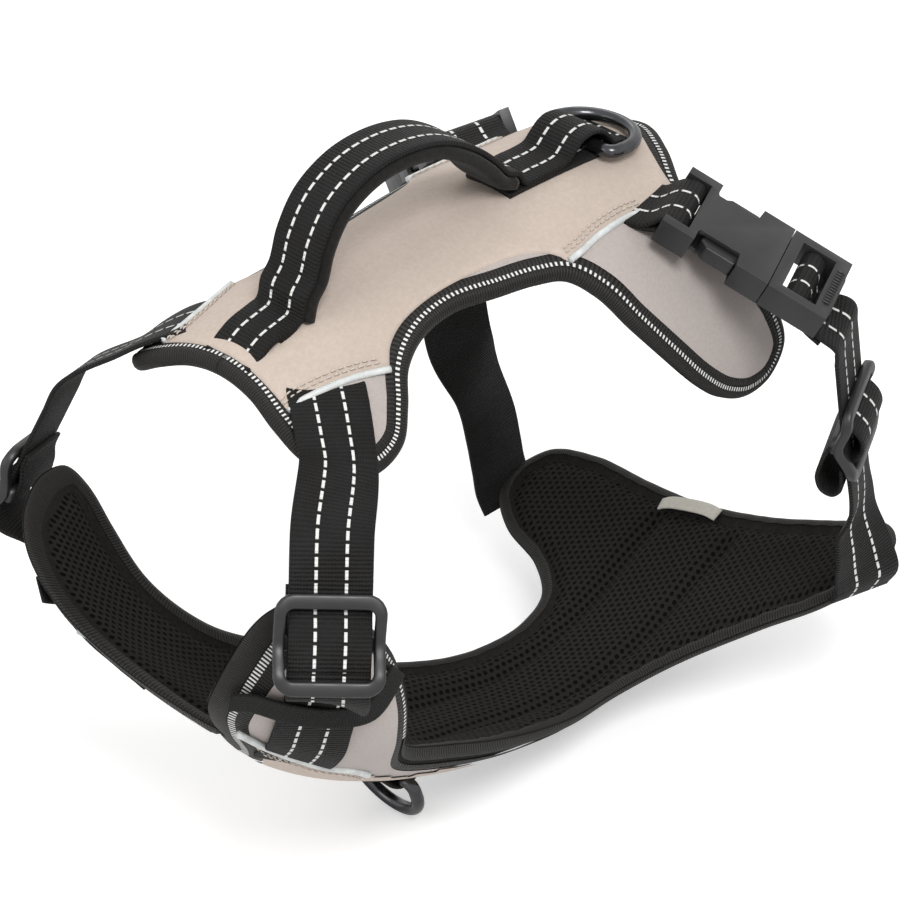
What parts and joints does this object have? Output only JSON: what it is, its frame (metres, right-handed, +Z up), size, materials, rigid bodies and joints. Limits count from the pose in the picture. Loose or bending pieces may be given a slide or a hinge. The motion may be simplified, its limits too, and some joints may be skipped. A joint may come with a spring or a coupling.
{
  "type": "no pull dog harness",
  "caption": "Padded no-pull dog harness with quick-release girth buckles, adjustable neck straps, a top handle, and leash rings on back and chest.",
  "frame": {"origin": "middle of the bounding box's base, with the harness upright as worn", "axes": "+X to the dog's tail, +Y to the dog's right, +Z up"},
  "size_m": [0.2858, 0.1984, 0.2575],
  "materials": {
    "air_mesh": "padded air mesh with a puckered woven border",
    "overlay": "matt woven overlay fabric",
    "webbing": "ribbed flat webbing",
    "handle_padding": "brushed padded webbing",
    "elastic": "woven elastic",
    "label": "blank woven tag",
    "ring_metal": "glossy gunmetal",
    "moulded_plastic": "satin moulded"
  },
  "bodies": {
    "harness": {"back_panel": "air_mesh", "back_cover": "overlay", "chest_panel": "air_mesh", "chest_cover": "overlay", "spine_webbing_front": "webbing", "spine_webbing_rear": "webbing", "handle_webbing": "webbing", "handle_pad": "handle_padding", "back_ring_loop": "webbing", "chest_webbing": "webbing", "chest_ring_loop": "webbing", "neck_strap_left": "webbing", "arm_webbing_left": "webbing", "keeper_left": "elastic", "neck_strap_right": "webbing", "arm_webbing_right": "webbing", "keeper_right": "elastic", "buckle_socket_left": "moulded_plastic", "girth_anchor_left": "webbing", "girth_lead_left": "webbing", "girth_strap_left": "webbing", "buckle_socket_right": "moulded_plastic", "girth_anchor_right": "webbing", "girth_lead_right": "webbing", "girth_strap_right": "webbing", "care_label": "label"},
    "back_ring_body": {"back_ring": "ring_metal"},
    "chest_ring_body": {"chest_ring": "ring_metal"},
    "neck_slider_left_body": {"neck_slider_left": "moulded_plastic"},
    "girth_slider_left_body": {"girth_slider_left": "moulded_plastic"},
    "plug_left_body": {"buckle_plug_left": "moulded_plastic"},
    "latch_front_left_body": {"latch_front_left": "moulded_plastic"},
    "latch_rear_left_body": {"latch_rear_left": "moulded_plastic"},
    "neck_slider_right_body": {"neck_slider_right": "moulded_plastic"},
    "girth_slider_right_body": {"girth_slider_right": "moulded_plastic"},
    "plug_right_body": {"buckle_plug_right": "moulded_plastic"},
    "latch_front_right_body": {"latch_front_right": "moulded_plastic"},
    "latch_rear_right_body": {"latch_rear_right": "moulded_plastic"}
  },
  "joints": [
    {"name": "back_ring_swing", "type": "hinge", "parent": "harness", "child": "back_ring_body", "pos_m": [0.05655, 0.00081, 0.22567], "axis": [0, 1, 0], "range_deg": [-140, 0]},
    {"name": "chest_ring_swing", "type": "hinge", "parent": "harness", "child": "chest_ring_body", "pos_m": [-0.03373, 0.00081, 0.0216], "axis": [0, 1, 0], "range_deg": [-35, 100]},
    {"name": "neck_slider_left_slide", "type": "slide", "parent": "harness", "child": "neck_slider_left_body", "axis": [0.3727, 0.3324, 0.8663], "range_m": [0, 0.016]},
    {"name": "girth_slider_left_slide", "type": "slide", "parent": "harness", "child": "girth_slider_left_body", "axis": [-0.2062, -0.0226, 0.9783], "range_m": [-0.015, 0.015]},
    {"name": "plug_left_slide", "type": "slide", "parent": "harness", "child": "plug_left_body", "axis": [0.4091, -0.7978, -0.4429], "range_m": [0, 0.03], "deforming": ["girth_lead_left"]},
    {"name": "latch_front_left_squeeze", "type": "hinge", "parent": "plug_left_body", "child": "latch_front_left_body", "pos_m": [0.06665, -0.0733, 0.19889], "axis": [0.15, -0.42, 0.895], "range_deg": [-6, 0], "stiffness_Nm_per_rad": 0.2},
    {"name": "latch_rear_left_squeeze", "type": "hinge", "parent": "plug_left_body", "child": "latch_rear_left_body", "pos_m": [0.08285, -0.06552, 0.19982], "axis": [0.15, -0.42, 0.895], "range_deg": [0, 6], "stiffness_Nm_per_rad": 0.2},
    {"name": "neck_slider_right_slide", "type": "slide", "parent": "harness", "child": "neck_slider_right_body", "axis": [0.3491, -0.2693, 0.8976], "range_m": [0, 0.016]},
    {"name": "girth_slider_right_slide", "type": "slide", "parent": "harness", "child": "girth_slider_right_body", "axis": [-0.1815, 0.0227, 0.9831], "range_m": [-0.015, 0.015]},
    {"name": "plug_right_slide", "type": "slide", "parent": "harness", "child": "plug_right_body", "axis": [0.3819, 0.6919, -0.6127], "range_m": [0, 0.03], "deforming": ["girth_lead_right"]},
    {"name": "latch_front_right_squeeze", "type": "hinge", "parent": "plug_right_body", "child": "latch_front_right_body", "pos_m": [0.06012, 0.07686, 0.18468], "axis": [0.12, 0.6202, 0.7752], "range_deg": [0, 6], "stiffness_Nm_per_rad": 0.2},
    {"name": "latch_rear_right_squeeze", "type": "hinge", "parent": "plug_right_body", "child": "latch_rear_right_body", "pos_m": [0.07662, 0.0702, 0.18744], "axis": [0.12, 0.6202, 0.7752], "range_deg": [-6, 0], "stiffness_Nm_per_rad": 0.2}
  ],
  "couplings": [
    {"joint": "latch_rear_left_squeeze", "follows": "latch_front_left_squeeze", "ratio": -1},
    {"joint": "latch_rear_right_squeeze", "follows": "latch_front_right_squeeze", "ratio": -1}
  ]
}
